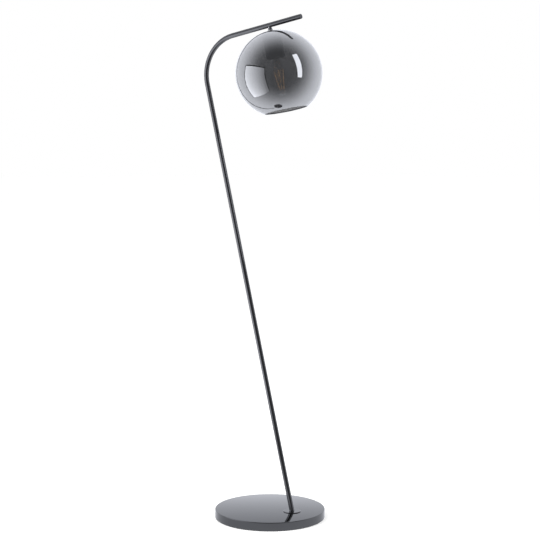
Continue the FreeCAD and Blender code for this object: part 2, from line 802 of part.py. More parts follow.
for head_piece in (arm_insert, hanger_nipple, stem_collar, glass_gasket, globe_glass, cup_gasket,
                   holder_cup, cup_toothed_washer, cup_nut, holder_cap, holder_skirt, holder_core,
                   thread_shell, centre_contact, side_contacts, terminal_screws,
                   bulb_glass, bulb_screw_cap, bulb_insulator, bulb_tip_contact, bulb_stem,
                   bulb_filaments, bulb_wires):
    export(head_piece.__name__, head_piece(), head_frame)

seated = head_frame.multVec(Vector(0, 0, bulb_tip))
print("bulb tip", seated, "bulb axis", head_frame.Rotation.multVec(-UP))
print("bulb travel", thread_pitch * unscrew_turns, "mm in", unscrew_turns, "turns")
print("globe centre", head_frame.multVec(Vector(0, 0, globe_centre)))
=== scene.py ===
import bmesh
import bpy
import json
import math
from mathutils import Matrix, Vector

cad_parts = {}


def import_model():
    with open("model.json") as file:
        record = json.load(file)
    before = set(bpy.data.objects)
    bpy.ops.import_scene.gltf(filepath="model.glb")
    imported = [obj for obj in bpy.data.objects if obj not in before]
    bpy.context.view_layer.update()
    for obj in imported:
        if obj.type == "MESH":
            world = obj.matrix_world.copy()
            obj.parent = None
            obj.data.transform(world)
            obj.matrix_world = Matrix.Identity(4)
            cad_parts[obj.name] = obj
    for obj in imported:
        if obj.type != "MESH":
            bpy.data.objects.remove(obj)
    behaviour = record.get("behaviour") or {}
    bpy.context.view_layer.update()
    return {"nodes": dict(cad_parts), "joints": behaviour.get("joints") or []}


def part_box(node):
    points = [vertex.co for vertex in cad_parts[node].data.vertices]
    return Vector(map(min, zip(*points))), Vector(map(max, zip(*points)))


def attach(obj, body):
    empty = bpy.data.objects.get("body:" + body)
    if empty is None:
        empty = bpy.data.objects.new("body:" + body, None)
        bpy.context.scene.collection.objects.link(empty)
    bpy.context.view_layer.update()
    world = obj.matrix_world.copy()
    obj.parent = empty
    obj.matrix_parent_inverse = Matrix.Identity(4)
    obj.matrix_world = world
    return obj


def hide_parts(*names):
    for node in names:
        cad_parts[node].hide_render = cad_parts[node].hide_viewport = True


# Globe floor lamp in black nickel and smoked glass, in metres.
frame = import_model()
MM = 0.001
UP = Vector((0, 0, 1))

# ---- fineness of the meshes -----------------------------------------------------------
round_steps = 160             # steps round the base
globe_steps = 240             # steps round the globe
globe_rings = 140             # steps down each wall of the globe
bulb_steps = 96               # steps round the cup and the bulb
stem_steps = 48               # steps round its glass stem
stick_steps = 16              # steps round a filament
cap_steps = 72                # steps round the bulb's screw cap
cap_rows = 90                 # rows down its thread
bend_steps = 72               # steps along the bend of the arm
fine_steps = 64               # steps round the small turned pieces
hole_steps = 48               # steps round a drilled hole
flare_steps = 8               # steps along a trumpet-shaped flare
smooth_below = 34             # degrees: a flatter corner is shaded smooth
merge_below = 0.0001 * MM     # points closer than this are one
hold = 0.15 * MM              # distance of the edge loop that keeps a flat face flat

# ---- sizes that can't be read off the solids ------------------------------------------
cover_wall = 1.2 * MM
cover_edge = 2.0 * MM
stud_gap = 0.5 * MM           # play round the stud in the cover
cable_hole_radius = 5.0 * MM
cable_hole_height = 13.0 * MM
flange_rounding = 0.85        # share of the flange's thickness that is rounded off
weld_cove = 1.8 * MM          # radius of the weld's hollow
tube_wall = 1.0 * MM
tube_edge = 0.3 * MM
bend_radius = 118 * MM
button_groove = 0.62          # turned ring and centre of the arm's end, as shares of its radius
button_dimple = 0.36
collar_neck = 0.70            # neck and bore of the collar, as shares of its widest radius
collar_bore = 0.64
collar_rim = 1.2 * MM
globe_wall = 3.0 * MM
globe_opening = 63 * MM
globe_hole = 5.5 * MM
cup_bore = 5 * MM
cup_wall = 1.0 * MM
cup_shoulder = 4.0 * MM
cup_lip = 3.5 * MM
cup_mouth = 21.5 * MM
bulb_wall = 0.8 * MM
bulb_neck_radius = 12.5 * MM
bulb_shoulder_length = 51 * MM
bulb_shoulder_radius = 50 * MM
bulb_dome_length = 51.5 * MM
bulb_nose_radius = 18 * MM
stem_foot = 1 * MM            # straight foot of the glass stem, where it meets the neck
stem_flare = 18 * MM
stem_throat_length = 18 * MM
stem_throat_radius = 4.5 * MM
stem_taper = 2 * MM           # half the length over which the throat thins to the rod
stem_rod_radius = 2.2 * MM
cap_wall = 0.3 * MM
cap_shoulder = 2.5 * MM
cap_crown_radius = 8.5 * MM
thread_pitch = 3.629 * MM
thread_depth = 0.55 * MM
thread_fade = 1.5 * MM        # length over which the thread fades out at each end
filament_count = 6
filament_radius = 0.9 * MM
filament_rounding = 0.4 * MM
filament_top_radius = 16 * MM
filament_foot_radius = 5.6 * MM
filament_tip = 2.2 * MM       # bare metal at each end of a filament
wire_radius = 0.3 * MM
wire_root_radius = 2.0 * MM   # distance of the wires' inner ends from the bulb's axis
wire_reach = 1.0 * MM         # how far they lie past the filaments' ends

# ---- frames ---------------------------------------------------------------------------
# The foot lies level on the flange. The pole and the head lean together, as far as the line
# along which the bulb unscrews, and the head's origin is on the arm's axis over the globe.
cover_low, cover_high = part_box("base_cover")
flange_low, flange_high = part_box("foot_flange")
down = Vector(frame["joints"][0]["axis"])
lean = math.atan2(down.x, -down.z)
lamp_place = Matrix.Identity(4)
foot_place = Matrix.Translation(((flange_low.x + flange_high.x) / 2, 0, flange_high.z))
pole_place = (Matrix.Translation(((flange_low.x + flange_high.x) / 2, 0, cover_high.z))
              @ Matrix.Rotation(-lean, 4, "Y"))


def reach(node, place):
    """Lowest and highest corner of a solid along the axes of a local frame."""
    back = place.inverted()
    points = [back @ vertex.co for vertex in frame["nodes"][node].data.vertices]
    low = Vector([min(point[axis] for point in points) for axis in range(3)])
    high = Vector([max(point[axis] for point in points) for axis in range(3)])
    return low, high


button_low, button_high = reach("arm_end_cap", pole_place)
tube_radius = (button_high.z - button_low.z) / 2
arm_height = (button_high.z + button_low.z) / 2
collar_low, collar_high = reach("stem_collar", pole_place)
head_place = pole_place @ Matrix.Translation(((collar_low.x + collar_high.x) / 2, 0, arm_height))


# ---- shaping helpers ------------------------------------------------------------------
def arc(centre, radius, start, end, steps):
    """Points of an arc between two angles in degrees, from +X towards +Z."""
    points = []
    for index in range(steps + 1):
        angle = math.radians(start + (end - start) * index / steps)
        points.append((centre[0] + radius * math.cos(angle), centre[1] + radius * math.sin(angle)))
    return points


def flare(from_radius, to_radius, from_height, to_height):
    """Points of a trumpet shape that leaves one radius fast and reaches the other slowly."""
    points = []
    for index in range(1, flare_steps + 1):
        share = index / flare_steps
        radius = from_radius + (to_radius - from_radius) * math.sin(share * math.pi / 2)
        points.append((radius, from_height + (to_height - from_height) * share))
    return points


def lathe(outline, steps, closed=False, open_at=None):
    """Spin an outline of radius and height round the local Z axis.

    A closed outline runs back to its first point. Where an outline meets the axis twice,
    open_at is the place in it of the first of these points, and the two aren't joined.
    """
    mesh = bmesh.new()
    verts = [mesh.verts.new((radius, 0, height)) for radius, height in outline]
    pairs = list(zip(verts, verts[1:]))
    if closed:
        pairs.append((verts[-1], verts[0]))
    if open_at is not None:
        del pairs[open_at]
    edges = [mesh.edges.new(pair) for pair in pairs]
    bmesh.ops.spin(mesh, geom=verts + edges, cent=(0, 0, 0), axis=(0, 0, 1), dvec=(0, 0, 0),
                   angle=2 * math.pi, steps=steps, use_merge=True)
    bmesh.ops.remove_doubles(mesh, verts=mesh.verts, dist=merge_below)
    bmesh.ops.dissolve_degenerate(mesh, edges=mesh.edges, dist=merge_below)
    bmesh.ops.recalc_face_normals(mesh, faces=mesh.faces)
    return mesh


def add_rod(mesh, start, end, radius, segments=12):
    """Closed round rod between two points."""
    axis = end - start
    turn = UP.rotation_difference(axis).to_matrix().to_4x4()
    place = Matrix.Translation((start + end) / 2) @ turn
    bmesh.ops.create_cone(mesh, cap_ends=True, cap_tris=False, segments=segments,
                          radius1=radius, radius2=radius, depth=axis.length, matrix=place)


def piece(name, mesh, place, body, nodes, materials):
    """Turn a finished bmesh into a piece that rides on a body and stands for its solids."""
    mesh.transform(place)
    data = bpy.data.meshes.new(name)
    mesh.to_mesh(data)
    mesh.free()
    data.shade_smooth()
    data.set_sharp_from_angle(angle=math.radians(smooth_below))
    for material in materials:
        data.materials.append(material)
    made = bpy.data.objects.new(name, data)
    bpy.context.scene.collection.objects.link(made)
    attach(made, body)
    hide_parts(*nodes)
    return made


def drill(target, rods):
    """Cut round holes in a piece: each rod is its start, end and radius."""
    cutter = bmesh.new()
    for start, end, radius in rods:
        add_rod(cutter, start, end, radius, hole_steps)
    data = bpy.data.meshes.new("cutter")
    cutter.to_mesh(data)
    cutter.free()
    tool = bpy.data.objects.new("cutter", data)
    bpy.context.scene.collection.objects.link(tool)
    cut = target.modifiers.new("holes", "BOOLEAN")
    cut.object = tool
    cut.solver = "EXACT"
    graph = bpy.context.evaluated_depsgraph_get()
    whole = target.data
    target.data = bpy.data.meshes.new_from_object(target.evaluated_get(graph))
    target.data.name = target.name
    target.modifiers.clear()
    bpy.data.meshes.remove(whole)
    bpy.data.objects.remove(tool)
    bpy.data.meshes.remove(data)


# ---- shader helpers -------------------------------------------------------------------
COLOUR_A, COLOUR_B, COLOUR_RESULT = 6, 7, 2     # sockets of a Mix node between two colours


def add(tree, kind, values=None, **settings):
    """New shader node with the values of its sockets and its settings."""
    node = tree.nodes.new(kind)
    for name, value in settings.items():
        setattr(node, name, value)
    for name, value in (values or {}).items():
        node.inputs[name].default_value = value
    return node


def grey(value):
    """Opaque neutral colour."""
    return (value, value, value, 1)


def open_group(name, inputs, outputs):
    """Empty shader group with named sockets: the inputs have a kind and a value each."""
    group = bpy.data.node_groups.new(name, "ShaderNodeTree")
    for label, kind, value in inputs:
        socket = group.interface.new_socket(label, in_out="INPUT", socket_type=kind)
        socket.default_value = value
    for label, kind in outputs:
        group.interface.new_socket(label, in_out="OUTPUT", socket_type=kind)
    return group, group.nodes.new("NodeGroupInput"), group.nodes.new("NodeGroupOutput")


def polish_group():
    """Roughness clouds and hair scratches of a polished or painted surface."""
    group, given, result = open_group("polish", [
        ("Roughness", "NodeSocketFloat", 0.1), ("Cloud", "NodeSocketFloat", 0.05),
        ("Scale", "NodeSocketFloat", 9.0), ("Scratch", "NodeSocketFloat", 0.02)],
        [("Roughness", "NodeSocketFloat")])
    link = group.links.new
    place = add(group, "ShaderNodeTexCoord")
    cloud = add(group, "ShaderNodeTexNoise", {"Detail": 4.0, "Roughness": 0.6})
    link(place.outputs["Object"], cloud.inputs["Vector"])
    link(given.outputs["Scale"], cloud.inputs["Scale"])
    stretch = add(group, "ShaderNodeMapping", {"Scale": (14, 14, 0.6), "Rotation": (0.3, 0.5, 0.2)})
    link(place.outputs["Object"], stretch.inputs["Vector"])
    hair = add(group, "ShaderNodeTexNoise", {"Scale": 90.0, "Detail": 3.0, "Roughness": 0.5})
    link(stretch.outputs["Vector"], hair.inputs["Vector"])
    lines = add(group, "ShaderNodeMapRange", {"From Min": 0.62, "From Max": 0.72})
    link(hair.outputs["Fac"], lines.inputs["Value"])
    centred = add(group, "ShaderNodeMath", {1: 0.5}, operation="SUBTRACT")
    link(cloud.outputs["Fac"], centred.inputs[0])
    clouded = add(group, "ShaderNodeMath", operation="MULTIPLY_ADD")
    link(centred.outputs[0], clouded.inputs[0])
    link(given.outputs["Cloud"], clouded.inputs[1])
    link(given.outputs["Roughness"], clouded.inputs[2])
    scratched = add(group, "ShaderNodeMath", operation="MULTIPLY_ADD")
    link(lines.outputs["Result"], scratched.inputs[0])
    link(given.outputs["Scratch"], scratched.inputs[1])
    link(clouded.outputs[0], scratched.inputs[2])
    link(scratched.outputs[0], result.inputs["Roughness"])
    return group


def mottle_group():
    """Two tones of one colour in soft clouds with a fine grain on top."""
    group, given, result = open_group("mottle", [
        ("Light", "NodeSocketColor", grey(0.5)), ("Dark", "NodeSocketColor", grey(0.4)),
        ("Scale", "NodeSocketFloat", 20.0), ("Grain", "NodeSocketFloat", 900.0)],
        [("Color", "NodeSocketColor"), ("Height", "NodeSocketFloat")])
    link = group.links.new
    place = add(group, "ShaderNodeTexCoord")
    cloud = add(group, "ShaderNodeTexNoise", {"Detail": 5.0, "Roughness": 0.6})
    grain = add(group, "ShaderNodeTexNoise", {"Detail": 2.0, "Roughness": 0.7})
    for texture, scale in ((cloud, "Scale"), (grain, "Grain")):
        link(place.outputs["Object"], texture.inputs["Vector"])
        link(given.outputs[scale], texture.inputs["Scale"])
    both = add(group, "ShaderNodeMath", operation="MULTIPLY")
    link(cloud.outputs["Fac"], both.inputs[0])
    link(grain.outputs["Fac"], both.inputs[1])
    spread = add(group, "ShaderNodeMapRange", {"From Min": 0.15, "From Max": 0.38})
    link(both.outputs[0], spread.inputs["Value"])
    mixed = add(group, "ShaderNodeMix", data_type="RGBA")
    link(spread.outputs["Result"], mixed.inputs["Factor"])
    link(given.outputs["Dark"], mixed.inputs[COLOUR_A])
    link(given.outputs["Light"], mixed.inputs[COLOUR_B])
    link(mixed.outputs[COLOUR_RESULT], result.inputs["Color"])
    link(grain.outputs["Fac"], result.inputs["Height"])
    return group


POLISH = polish_group()
MOTTLE = mottle_group()


def coated(name, light, dark, roughness, metallic=0.0, cloud=0.05, scratch=0.02, scale=9.0,
           grain=900.0, bump=0.02, bump_depth=0.02 * MM, plain=None):
    """Opaque finish: mottled colour, clouded and scratched roughness, and a fine grain."""
    material = bpy.data.materials.new(name)
    material.use_nodes = True
    tree = material.node_tree
    link = tree.links.new
    shader = tree.nodes["Principled BSDF"]
    shader.inputs["Metallic"].default_value = metallic
    for socket, value in (plain or {}).items():
        shader.inputs[socket].default_value = value
    tones = add(tree, "ShaderNodeGroup", node_tree=MOTTLE)
    tones.inputs["Light"].default_value = (*light, 1)
    tones.inputs["Dark"].default_value = (*dark, 1)
    tones.inputs["Scale"].default_value = scale
    tones.inputs["Grain"].default_value = grain
    polish = add(tree, "ShaderNodeGroup", node_tree=POLISH)
    polish.inputs["Roughness"].default_value = roughness
    polish.inputs["Cloud"].default_value = cloud
    polish.inputs["Scratch"].default_value = scratch
    polish.inputs["Scale"].default_value = scale
    raised = add(tree, "ShaderNodeBump", {"Strength": bump, "Distance": bump_depth})
    link(tones.outputs["Color"], shader.inputs["Base Color"])
    link(polish.outputs["Roughness"], shader.inputs["Roughness"])
    link(tones.outputs["Height"], raised.inputs["Height"])
    link(raised.outputs["Normal"], shader.inputs["Normal"])
    return material


def glass(name, colour, coat=0.0, coat_ior=1.5, ior=1.5, streaks=0.97):
    """Clear or tinted glass with faint streaks; a coat stands for a mirror film."""
    material = bpy.data.materials.new(name)
    material.use_nodes = True
    tree = material.node_tree
    link = tree.links.new
    shader = tree.nodes["Principled BSDF"]
    shader.inputs["Transmission Weight"].default_value = 1.0
    shader.inputs["Roughness"].default_value = 0.0
    shader.inputs["IOR"].default_value = ior
    shader.inputs["Coat Weight"].default_value = coat
    shader.inputs["Coat IOR"].default_value = coat_ior
    shader.inputs["Coat Roughness"].default_value = 0.0
    tones = add(tree, "ShaderNodeGroup", node_tree=MOTTLE)
    tones.inputs["Light"].default_value = (*colour, 1)
    tones.inputs["Dark"].default_value = (*[streaks * part for part in colour], 1)
    tones.inputs["Scale"].default_value = 6.0
    link(tones.outputs["Color"], shader.inputs["Base Color"])
    return material


def crown(material, tilt_per_metre):
    """Let a flat polished disc mirror its surroundings as if it were slightly crowned."""
    tree = material.node_tree
    link = tree.links.new
    place = add(tree, "ShaderNodeTexCoord")
    flat = add(tree, "ShaderNodeVectorMath", {1: (1, 1, 0)}, operation="MULTIPLY")
    tilt = add(tree, "ShaderNodeVectorMath", {1: (tilt_per_metre,) * 3}, operation="MULTIPLY")
    raised = add(tree, "ShaderNodeVectorMath", {1: (0, 0, 1)}, operation="ADD")
    unit = add(tree, "ShaderNodeVectorMath", operation="NORMALIZE")
    link(place.outputs["Object"], flat.inputs[0])
    link(flat.outputs[0], tilt.inputs[0])
    link(tilt.outputs[0], raised.inputs[0])
    link(raised.outputs[0], unit.inputs[0])
    bump = [node for node in tree.nodes if node.type == "BUMP"][0]
    link(unit.outputs[0], bump.inputs["Normal"])
    return material


# ---- materials ------------------------------------------------------------------------
# Painted light and shade: the same black nickel is drawn in copies of different lightness by how
# light falls on each part. The level top of the cover and the foot plate get a darker copy than the
# upright rim, and the tubes' copy is the lightest.
lit_rim_pale = (0.136, 0.137, 0.140)
lit_rim_deep = (0.123, 0.124, 0.127)
shaded_top_pale = (0.094, 0.095, 0.099)
shaded_top_deep = (0.085, 0.086, 0.090)
base_tilt = 0.105             # slope at the rim of the base that its crown stands for
smoke = (0.265, 0.265, 0.27)
painted_shade_edge = {"Specular Tint": grey(0.0)}    # painted shade: a black specular tint keeps the tube's mirror image dark at its edges, where it turns away
black_nickel = coated("black_nickel", (0.20, 0.20, 0.205), (0.18, 0.18, 0.185), 0.07,
                      metallic=1.0, cloud=0.03, plain=painted_shade_edge)
lit_rim_nickel = coated("black_nickel_lit_rim", lit_rim_pale, lit_rim_deep, 0.07, metallic=1.0, cloud=0.03)
shaded_top_nickel = crown(coated("black_nickel_shaded_top", shaded_top_pale, shaded_top_deep, 0.05, metallic=1.0,
                           cloud=0.02, scale=5.0), base_tilt / cover_high.x)
shaded_foot_nickel = coated("black_nickel_shaded_foot", shaded_top_pale, shaded_top_deep, 0.06, metallic=1.0, cloud=0.02)
weld_nickel = coated("black_nickel_weld", (0.12, 0.12, 0.13), (0.10, 0.10, 0.11), 0.16,
                     metallic=1.0, cloud=0.06)
smoked_film = glass("smoked_glass_outside", smoke, coat=1.0, coat_ior=4.0)
smoked_inside = glass("smoked_glass_inside", smoke)
clear_glass = glass("clear_glass", (0.98, 0.98, 0.97), coat=1.0, coat_ior=2.0)

# Finishes by the names that the solids' own materials have.
FINISHES = {
    "black_nickel": black_nickel,
    "cast_iron": coated("cast_iron", (0.16, 0.155, 0.15), (0.10, 0.098, 0.095), 0.7, metallic=0.6,
                        cloud=0.2, grain=260.0, bump=0.5, bump_depth=0.3 * MM),
    "foam_pad": coated("foam_pad", (0.035, 0.035, 0.036), (0.018, 0.018, 0.019), 0.95,
                       cloud=0.1, grain=1400.0, bump=0.6, bump_depth=0.2 * MM),
    "black_rubber": coated("black_rubber", (0.03, 0.03, 0.031), (0.02, 0.02, 0.021), 0.62,
                           cloud=0.12, grain=1100.0, bump=0.2, bump_depth=0.05 * MM),
    "zinc_steel": coated("zinc_steel", (0.62, 0.63, 0.63), (0.48, 0.49, 0.50), 0.34,
                         metallic=1.0, cloud=0.16, scale=60.0, scratch=0.1),
    "nickel_steel": coated("nickel_steel", (0.56, 0.56, 0.57), (0.47, 0.47, 0.48), 0.16,
                           metallic=1.0, cloud=0.1, scale=60.0),
    "soft_washer": coated("soft_washer", (0.58, 0.58, 0.57), (0.50, 0.50, 0.49), 0.6,
                          cloud=0.1),
    "black_paint": coated("black_paint", (0.022, 0.022, 0.024), (0.014, 0.014, 0.016), 0.34,
                          cloud=0.08, grain=1500.0, bump=0.12, bump_depth=0.03 * MM),
    "holder_plastic": coated("holder_plastic", (0.03, 0.03, 0.031), (0.022, 0.022, 0.023), 0.45,
                             cloud=0.1, grain=1300.0, bump=0.15, bump_depth=0.03 * MM),
    "holder_ceramic": coated("holder_ceramic", (0.80, 0.78, 0.73), (0.72, 0.70, 0.65), 0.18,
                             cloud=0.08, scale=40.0, plain={"Coat Weight": 0.5}),
    "brass": coated("brass", (0.80, 0.58, 0.28), (0.68, 0.47, 0.21), 0.3, metallic=1.0,
                    cloud=0.14, scale=70.0),
    "cap_metal": coated("cap_metal", (0.80, 0.64, 0.36), (0.68, 0.54, 0.30), 0.27, metallic=1.0,
                        cloud=0.14, scale=70.0),
    "solder": coated("solder", (0.58, 0.58, 0.60), (0.42, 0.42, 0.44), 0.36, metallic=1.0,
                     cloud=0.2, scale=180.0, bump=0.3, bump_depth=0.1 * MM),
    "vitrite": coated("vitrite", (0.02, 0.02, 0.024), (0.012, 0.012, 0.015), 0.08, cloud=0.05),
    "clear_glass": clear_glass,
    "smoked_glass": smoked_film,
    # Painted light: the filament's faint amber emission makes it glow as a lit surface would,
    # though the bulb is not lit and the smoked globe keeps the light off it.
    "filament": coated("filament", (0.95, 0.60, 0.22), (0.85, 0.48, 0.14), 0.55, cloud=0.1,
                       grain=2600.0, bump=0.4, bump_depth=0.1 * MM,
                       plain={"Emission Color": (1.0, 0.62, 0.30, 1), "Emission Strength": 0.7}),
    "wire": coated("wire", (0.62, 0.60, 0.56), (0.50, 0.48, 0.45), 0.25, metallic=1.0),
}


# ---- base and foot --------------------------------------------------------------------
def base_cover():
    """Deep-drawn cover: flat top in a darker copy of the rim's nickel (painted shade) that mirrors
    as if crowned, rounded edge, hem and the holes cut.
    """
    radius, top, foot = cover_high.x, cover_high.z, cover_low.z
    centre = (radius - cover_edge, top - cover_edge)
    outline = [(0, top), (radius / 2, top), (centre[0] - hold, top)]
    outline += arc(centre, cover_edge, 90, 0, steps=8)
    outline += [(radius, centre[1] - hold), (radius, foot + cover_wall / 2 + hold)]
    outline += arc((radius - cover_wall / 2, foot + cover_wall / 2), cover_wall / 2, 0, -180,
                   steps=6)
    outline += arc(centre, cover_edge - cover_wall, 0, 90, steps=4)
    outline += [(0, top - cover_wall)]
    mesh = lathe(outline, round_steps)
    for face in mesh.faces:
        middle = face.calc_center_median()
        if middle.z > top - hold / 2 and math.hypot(middle.x, middle.y) < centre[0]:
            face.material_index = 1
    cover = piece("round_base_cover", mesh, lamp_place, "lamp", ["base_cover"],
                  [lit_rim_nickel, shaded_top_nickel])
    stud_low, stud_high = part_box("foot_stud")
    stud_hole_radius = (stud_high.y - stud_low.y) / 2 + stud_gap
    under = Vector((foot_place.translation.x, 0, top - 2 * cover_edge))
    above = under + UP * 3 * cover_edge
    rim = Vector((-radius, 0, cable_hole_height))
    side = Vector((2 * cover_edge, 0, 0))
    drill(cover, [(under, above, stud_hole_radius), (rim - side, rim + side, cable_hole_radius)])


def foot_flange():
    """Thin plate under the pole with a rounded edge."""
    radius = (flange_high.x - flange_low.x) / 2
    thickness = flange_high.z - flange_low.z
    edge = thickness * flange_rounding
    outline = [(0, 0), (radius / 2, 0), (radius - edge - hold, 0)]
    outline += arc((radius - edge, -edge), edge, 90, 0, steps=6)
    outline += [(radius, hold - thickness), (radius, -thickness), (0, -thickness)]
    mesh = lathe(outline, round_steps)
    # The plate's nickel is the darker copy of the level top, painted shade.
    piece("pole_foot_flange", mesh, foot_place, "lamp", ["foot_flange"],
          [shaded_foot_nickel])


def foot_weld():
    """Smooth cove of weld round the foot of the pole, slanted with the leaning tube."""
    cove = [(tube_radius - tube_wall, 0)]
    cove += arc((tube_radius + weld_cove, weld_cove), weld_cove, 270, 180, steps=8)
    cove += [(tube_radius - tube_wall, weld_cove)]
    mesh = lathe(cove, fine_steps, closed=True)
    slant = Matrix.Identity(4)
    slant[0][0] = 1 / math.cos(lean)
    slant[0][2] = -math.tan(lean)
    mesh.transform(slant)
    piece("pole_foot_weld", mesh, foot_place, "lamp", [], [weld_nickel])


# ---- pole and arm ---------------------------------------------------------------------
def ring_at(mesh, radius, height):
    """Edges of a new ring round the pole's axis."""
    made = bmesh.ops.create_circle(mesh, cap_ends=False, segments=fine_steps, radius=radius,
                                   matrix=Matrix.Translation((0, 0, height)))
    return list({edge for vert in made["verts"] for edge in vert.link_edges})


def pull(mesh, edges, offset, scale=1.0):
    """Extrude a ring of edges by an offset and scale it about its own centre."""
    made = bmesh.ops.extrude_edge_only(mesh, edges=edges)["geom"]
    verts = [item for item in made if isinstance(item, bmesh.types.BMVert)]
    bmesh.ops.translate(mesh, verts=verts, vec=offset)
    centre = sum((vert.co for vert in verts), Vector()) / len(verts)
    bmesh.ops.scale(mesh, verts=verts, vec=(scale, scale, scale),
                    space=Matrix.Translation(-centre))
    return [item for item in made if isinstance(item, bmesh.types.BMEdge)
            and all(vert in verts for vert in item.verts)]


def eased_foot(mesh, height):
    """Start a skin of tube at a height with its eased edge; its open edges come back."""
    edges = ring_at(mesh, tube_radius - tube_edge, height)
    edges = pull(mesh, edges, UP * tube_edge, tube_radius / (tube_radius - tube_edge))
    return pull(mesh, edges, UP * hold)


def tube_piece(name, mesh, node, cut_foot=False):
    """Give a skin of tube its wall, cut it level at the flange if it stands there."""
    bmesh.ops.recalc_face_normals(mesh, faces=mesh.faces)
    if cut_foot:
        level = pole_place.inverted() @ Vector((foot_place.translation.x, 0, flange_high.z))
        normal = pole_place.to_3x3().inverted() @ UP
        bmesh.ops.bisect_plane(mesh, geom=mesh.verts[:] + mesh.edges[:] + mesh.faces[:],
                               plane_co=level, plane_no=normal, clear_inner=True)
    bmesh.ops.solidify(mesh, geom=mesh.faces[:], thickness=tube_wall)
    piece(name, mesh, pole_place, "lamp", [node], [black_nickel])


def straight_tube(name, node, cut_foot=False):
    """Straight length of the pole; a foot that is to be cut starts under the flange."""
    low, high = reach(node, pole_place)
    mesh = bmesh.new()
    if cut_foot:
        edges = ring_at(mesh, tube_radius, -tube_radius)
        edges = pull(mesh, edges, UP * 3 * tube_radius)
        start = 2 * tube_radius
    else:
        edges = eased_foot(mesh, low.z)
        start = low.z + tube_edge + hold
    edges = pull(mesh, edges, UP * (high.z - tube_edge - hold - start))
    edges = pull(mesh, edges, UP * hold)
    pull(mesh, edges, UP * tube_edge, (tube_radius - tube_edge) / tube_radius)
    tube_piece(name, mesh, node, cut_foot)


def bent_arm():
    """Top leg, square bend and arm, pulled from one ring."""
    low, high = reach("bent_arm_tube", pole_place)
    mesh = bmesh.new()
    edges = eased_foot(mesh, low.z)
    leg_top = arm_height - bend_radius
    edges = pull(mesh, edges, UP * (leg_top - low.z - tube_edge - hold))
    ring = edges + list({vert for edge in edges for vert in edge.verts})
    spun = bmesh.ops.spin(mesh, geom=ring, cent=(bend_radius, 0, leg_top), axis=(0, 1, 0),
                          dvec=(0, 0, 0), angle=math.pi / 2, steps=bend_steps, use_merge=False)
    last = [item for item in spun["geom_last"] if isinstance(item, bmesh.types.BMEdge)]
    last = pull(mesh, last, Vector((high.x - bend_radius - hold, 0, 0)))
    pull(mesh, last, Vector((hold, 0, 0)))
    bmesh.ops.remove_doubles(mesh, verts=mesh.verts, dist=merge_below)
    tube_piece("pole_bent_arm", mesh, "bent_arm_tube")


def arm_button():
    """Pushed-in button of the arm's end: rounded head with a turned ring and a small centre."""
    head = button_high.x - reach("bent_arm_tube", pole_place)[1].x
    back = button_low.x - button_high.x
    edge = head / 3
    depth = head / 4
    groove = tube_radius * button_groove
    dimple = tube_radius * button_dimple
    outline = [(0, -depth), (dimple - depth, -depth), (dimple, 0), (groove - depth / 2, 0),
               (groove, -depth / 2), (groove + depth / 2, 0), (tube_radius - edge - hold, 0)]
    outline += arc((tube_radius - edge, -edge), edge, 90, 0, steps=6)
    outline += [(tube_radius, -head), (tube_radius - tube_wall, -head),
                (tube_radius - tube_wall, back), (0, back)]
    mesh = lathe(outline, fine_steps)
    mesh.transform(Matrix.Rotation(math.pi / 2, 4, "Y"))
    mesh.transform(Matrix.Translation((button_high.x, 0, arm_height)))
    piece("arm_end_button", mesh, pole_place, "lamp", ["arm_end_cap"],
          [black_nickel])


# ---- hanging head ---------------------------------------------------------------------
def stem_collar():
    """Trumpet-shaped collar, saddled to the arm above it."""
    low, high = reach("stem_collar", head_place)
    foot_radius = high.x
    neck_radius = foot_radius * collar_neck
    bore = foot_radius * collar_bore
    flare_foot = low.z + collar_rim
    outline = [(bore, low.z), (foot_radius - hold, low.z), (foot_radius, low.z + hold),
               (foot_radius, flare_foot)]
    outline += flare(foot_radius, neck_radius, flare_foot, -tube_radius)
    outline += [(neck_radius, high.z), (bore, high.z)]
    mesh = lathe(outline, fine_steps, closed=True)
    for vert in mesh.verts:
        if vert.co.z > (flare_foot - tube_radius) / 2:
            vert.co.z = min(vert.co.z, -math.sqrt(tube_radius ** 2 - vert.co.y ** 2))
    piece("globe_collar", mesh, head_place, "lamp", ["stem_collar"],
          [FINISHES["nickel_steel"]])


def globe():
    """Blown globe with a film outside: two walls, a fire-rounded rim and the hole at its top."""
    top = reach("globe_glass", head_place)[1]
    outer = top.y
    inner = outer - globe_wall
    middle = outer - globe_wall / 2
    centre = (0, top.z - math.sqrt(outer ** 2 - globe_hole ** 2))
    opening = math.asin(globe_opening / middle)
    rim = (middle * math.sin(opening), centre[1] - middle * math.cos(opening))
    rim_angle = math.degrees(opening) - 90
    outer_top = 90 - math.degrees(math.asin(globe_hole / outer))
    inner_top = 90 - math.degrees(math.asin(globe_hole / inner))
    outline = arc(centre, outer, outer_top, rim_angle, globe_rings)
    outline += arc(rim, globe_wall / 2, rim_angle, rim_angle - 180, steps=8)[1:-1]
    outline += arc(centre, inner, rim_angle, inner_top, globe_rings)
    mesh = lathe(outline, globe_steps, closed=True)
    for face in mesh.faces:
        if (face.calc_center_median() - UP * centre[1]).length < middle:
            face.material_index = 1
    piece("smoked_globe", mesh, head_place, "lamp", ["globe_glass"],
          [smoked_film, smoked_inside])


